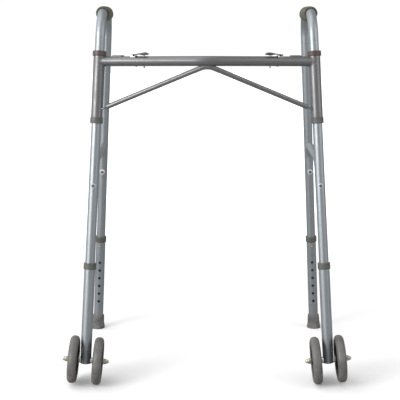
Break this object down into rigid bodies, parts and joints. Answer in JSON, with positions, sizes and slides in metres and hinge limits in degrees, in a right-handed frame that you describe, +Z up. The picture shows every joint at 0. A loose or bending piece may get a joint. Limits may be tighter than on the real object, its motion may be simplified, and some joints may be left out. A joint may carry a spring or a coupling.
{
  "type": "folding walking frame",
  "caption": "Extra-wide folding walking frame with twin front wheels, push-lever fold release, foam grips and push-button height adjustment.",
  "frame": {"origin": "on the floor, in the middle of the ground box of wheels and feet", "axes": "+Z up, -Y the front with the wheels, +X the left of the user who stands inside and faces -Y"},
  "size_m": [0.7628, 0.566, 0.9845],
  "materials": {
    "anodised_tube": "satin clear-anodised, fine lengthwise grain",
    "cross_frame_paint": "metallic grey powder coat",
    "lever_paint": "grey enamel",
    "brown_plastic": "matt moulded",
    "dark_plastic": "matt moulded",
    "olive_collar": "matt moulded",
    "moulded_nylon": "natural nylon",
    "foam_grip": "closed-cell foam skin",
    "steel": "zinc plated",
    "spring_steel": "plain",
    "bright_fastener": "bright nickel plate",
    "brass_button": "plain turned",
    "zinc_brass": "yellow zinc plate",
    "yellow_zinc": "yellow zinc plate",
    "foot_rubber": "matt",
    "wheel_tyre": "matt grey solid rubber",
    "wheel_hub": "black moulded"
  },
  "bodies": {
    "cross_frame": {"crossbar": "cross_frame_paint", "front_brace": "cross_frame_paint", "bolt_guides": "moulded_nylon", "crossbar_fasteners": "steel", "left_sleeve": "cross_frame_paint", "left_top_ring": "brown_plastic", "left_lower_bush": "dark_plastic", "left_bolt_housing": "cross_frame_paint", "left_lever_bracket": "steel", "left_bolt_spring": "spring_steel", "right_sleeve": "cross_frame_paint", "right_top_ring": "brown_plastic", "right_lower_bush": "dark_plastic", "right_bolt_housing": "cross_frame_paint", "right_lever_bracket": "steel", "right_bolt_spring": "spring_steel"},
    "left_side": {"left_side_tube": "anodised_tube", "left_grip": "foam_grip", "left_side_brace": "anodised_tube", "left_brace_bolts": "steel", "left_brace_washers": "moulded_nylon", "left_button_springs": "spring_steel"},
    "left_front_extension": {"left_front_leg": "anodised_tube", "left_front_collar": "olive_collar", "left_axle": "steel", "left_axle_nuts": "yellow_zinc", "left_axle_spacers": "bright_fastener"},
    "left_rear_extension": {"left_rear_leg": "anodised_tube", "left_rear_collar": "olive_collar", "left_rear_foot": "foot_rubber"},
    "left_lever": {"left_lever": "lever_paint"},
    "left_plunger": {"left_plunger": "zinc_brass"},
    "left_lock_bolt": {"left_lock_bolt": "steel"},
    "left_front_button": {"left_front_button": "brass_button"},
    "left_rear_button": {"left_rear_button": "brass_button"},
    "left_outer_wheel": {"left_outer_tyre": "wheel_tyre", "left_outer_hub": "wheel_hub"},
    "left_inner_wheel": {"left_inner_tyre": "wheel_tyre", "left_inner_hub": "wheel_hub"},
    "right_side": {"right_side_tube": "anodised_tube", "right_grip": "foam_grip", "right_side_brace": "anodised_tube", "right_brace_bolts": "steel", "right_brace_washers": "moulded_nylon", "right_button_springs": "spring_steel"},
    "right_front_extension": {"right_front_leg": "anodised_tube", "right_front_collar": "olive_collar", "right_axle": "steel", "right_axle_nuts": "yellow_zinc", "right_axle_spacers": "bright_fastener"},
    "right_rear_extension": {"right_rear_leg": "anodised_tube", "right_rear_collar": "olive_collar", "right_rear_foot": "foot_rubber"},
    "right_lever": {"right_lever": "lever_paint"},
    "right_plunger": {"right_plunger": "zinc_brass"},
    "right_lock_bolt": {"right_lock_bolt": "steel"},
    "right_front_button": {"right_front_button": "brass_button"},
    "right_rear_button": {"right_rear_button": "brass_button"},
    "right_outer_wheel": {"right_outer_tyre": "wheel_tyre", "right_outer_hub": "wheel_hub"},
    "right_inner_wheel": {"right_inner_tyre": "wheel_tyre", "right_inner_hub": "wheel_hub"}
  },
  "joints": [
    {"name": "left_fold", "type": "hinge", "parent": "cross_frame", "child": "left_side", "pos_m": [0.27962, -0.12204, 0.84274], "axis": [-0.0521, 0.1245, 0.9909], "range_deg": [0, 91]},
    {"name": "left_front_height", "type": "slide", "parent": "left_side", "child": "left_front_extension", "axis": [-0.0521, 0.1245, 0.9909], "range_m": [0, 0.1778], "deforming": ["left_front_button"]},
    {"name": "left_front_button_press", "type": "slide", "parent": "left_side", "child": "left_front_button", "axis": [-0.0344, -0.9918, 0.1228], "range_m": [0, 0.0044], "stiffness_N_per_m": 800, "deforming": ["left_button_springs"]},
    {"name": "left_rear_height", "type": "slide", "parent": "left_side", "child": "left_rear_extension", "axis": [-0.0586, -0.105, 0.9927], "range_m": [0, 0.1778], "deforming": ["left_rear_button"]},
    {"name": "left_rear_button_press", "type": "slide", "parent": "left_side", "child": "left_rear_button", "axis": [0.0216, 0.9941, 0.1064], "range_m": [0, 0.0044], "stiffness_N_per_m": 800, "deforming": ["left_button_springs"]},
    {"name": "left_outer_wheel_spin", "type": "hinge", "parent": "left_front_extension", "child": "left_outer_wheel", "pos_m": [0.35236, -0.22044, 0.06821], "axis": [0.9956, -0.0233, 0.0905], "continuous": true},
    {"name": "left_inner_wheel_spin", "type": "hinge", "parent": "left_front_extension", "child": "left_inner_wheel", "pos_m": [0.28864, -0.21895, 0.06242], "axis": [0.9956, -0.0233, 0.0905], "continuous": true},
    {"name": "left_lever_press", "type": "hinge", "parent": "cross_frame", "child": "left_lever", "pos_m": [0.191, -0.14581, 0.85964], "axis": [0.2591, -0.9659, 0], "range_deg": [-6, 5]},
    {"name": "left_plunger_slide", "type": "slide", "parent": "cross_frame", "child": "left_plunger", "axis": [-0.0147, -0.0039, -0.9999], "range_m": [-0.0035, 0.004]},
    {"name": "left_bolt_slide", "type": "slide", "parent": "cross_frame", "child": "left_lock_bolt", "axis": [-0.9657, -0.259, 0.0152], "range_m": [-0.0034, 0.0028], "stiffness_N_per_m": 370, "deforming": ["left_bolt_spring"]},
    {"name": "right_fold", "type": "hinge", "parent": "cross_frame", "child": "right_side", "pos_m": [-0.27962, -0.12204, 0.84274], "axis": [-0.0521, -0.1245, -0.9909], "range_deg": [0, 83]},
    {"name": "right_front_height", "type": "slide", "parent": "right_side", "child": "right_front_extension", "axis": [0.0521, 0.1245, 0.9909], "range_m": [0, 0.1778], "deforming": ["right_front_button"]},
    {"name": "right_front_button_press", "type": "slide", "parent": "right_side", "child": "right_front_button", "axis": [0.0344, -0.9918, 0.1228], "range_m": [0, 0.0044], "stiffness_N_per_m": 800, "deforming": ["right_button_springs"]},
    {"name": "right_rear_height", "type": "slide", "parent": "right_side", "child": "right_rear_extension", "axis": [0.0586, -0.105, 0.9927], "range_m": [0, 0.1778], "deforming": ["right_rear_button"]},
    {"name": "right_rear_button_press", "type": "slide", "parent": "right_side", "child": "right_rear_button", "axis": [-0.0216, 0.9941, 0.1064], "range_m": [0, 0.0044], "stiffness_N_per_m": 800, "deforming": ["right_button_springs"]},
    {"name": "right_outer_wheel_spin", "type": "hinge", "parent": "right_front_extension", "child": "right_outer_wheel", "pos_m": [-0.35236, -0.22044, 0.06821], "axis": [0.9956, 0.0233, -0.0905], "continuous": true},
    {"name": "right_inner_wheel_spin", "type": "hinge", "parent": "right_front_extension", "child": "right_inner_wheel", "pos_m": [-0.28864, -0.21895, 0.06242], "axis": [0.9956, 0.0233, -0.0905], "continuous": true},
    {"name": "right_lever_press", "type": "hinge", "parent": "cross_frame", "child": "right_lever", "pos_m": [-0.191, -0.14581, 0.85964], "axis": [0.2591, 0.9659, 0], "range_deg": [-6, 5]},
    {"name": "right_plunger_slide", "type": "slide", "parent": "cross_frame", "child": "right_plunger", "axis": [0.0147, -0.0039, -0.9999], "range_m": [-0.0035, 0.004]},
    {"name": "right_bolt_slide", "type": "slide", "parent": "cross_frame", "child": "right_lock_bolt", "axis": [0.9657, -0.259, 0.0152], "range_m": [-0.0034, 0.0028], "stiffness_N_per_m": 370, "deforming": ["right_bolt_spring"]}
  ],
  "couplings": [
    {"joint": "left_lever_press", "follows": "left_bolt_slide", "rad_per_m": 30.303},
    {"joint": "left_plunger_slide", "follows": "left_bolt_slide", "ratio": 0.90909},
    {"joint": "right_lever_press", "follows": "right_bolt_slide", "rad_per_m": 30.303},
    {"joint": "right_plunger_slide", "follows": "right_bolt_slide", "ratio": 0.90909}
  ]
}
